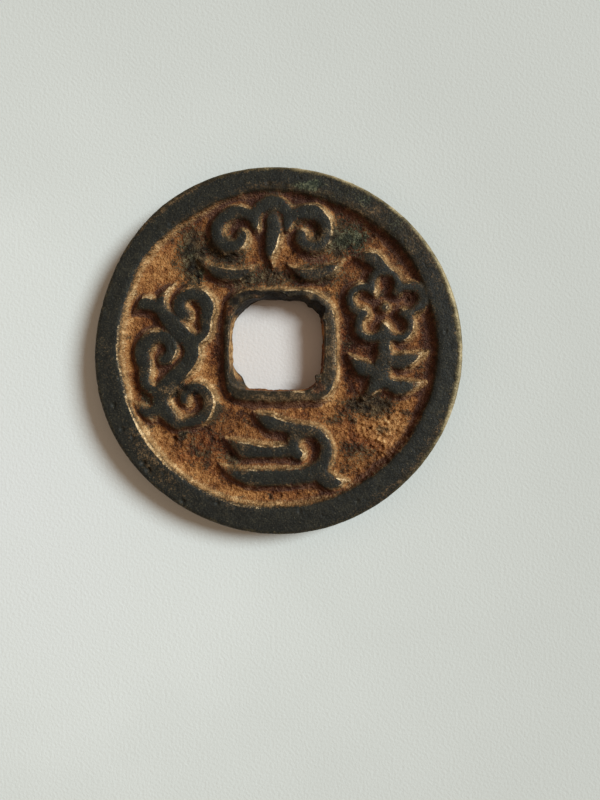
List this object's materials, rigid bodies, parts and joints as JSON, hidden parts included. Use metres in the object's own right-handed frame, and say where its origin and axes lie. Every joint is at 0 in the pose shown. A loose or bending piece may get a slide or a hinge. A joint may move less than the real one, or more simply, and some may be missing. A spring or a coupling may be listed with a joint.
{
  "type": "square-holed bronze coin",
  "caption": "Round cast bronze coin with a square string hole, raised outer and inner rims, relief ornaments on the obverse and worn gilding in the sunken field.",
  "frame": {"origin": "on the coin's axis, in the plane of the reverse rims that it lies on", "axes": "+Z out of the obverse along the coin's axis, +Y towards the top of the obverse as it is pictured, +X to its right"},
  "size_m": [0.0452, 0.0452, 0.0036],
  "materials": {
    "gilt_bronze": "dark green-brown bronze patina on the worn rims and relief tops, ochre remains of gilding in the grainy field"
  },
  "bodies": {
    "root": {"cast_coin": "gilt_bronze"}
  },
  "joints": []
}
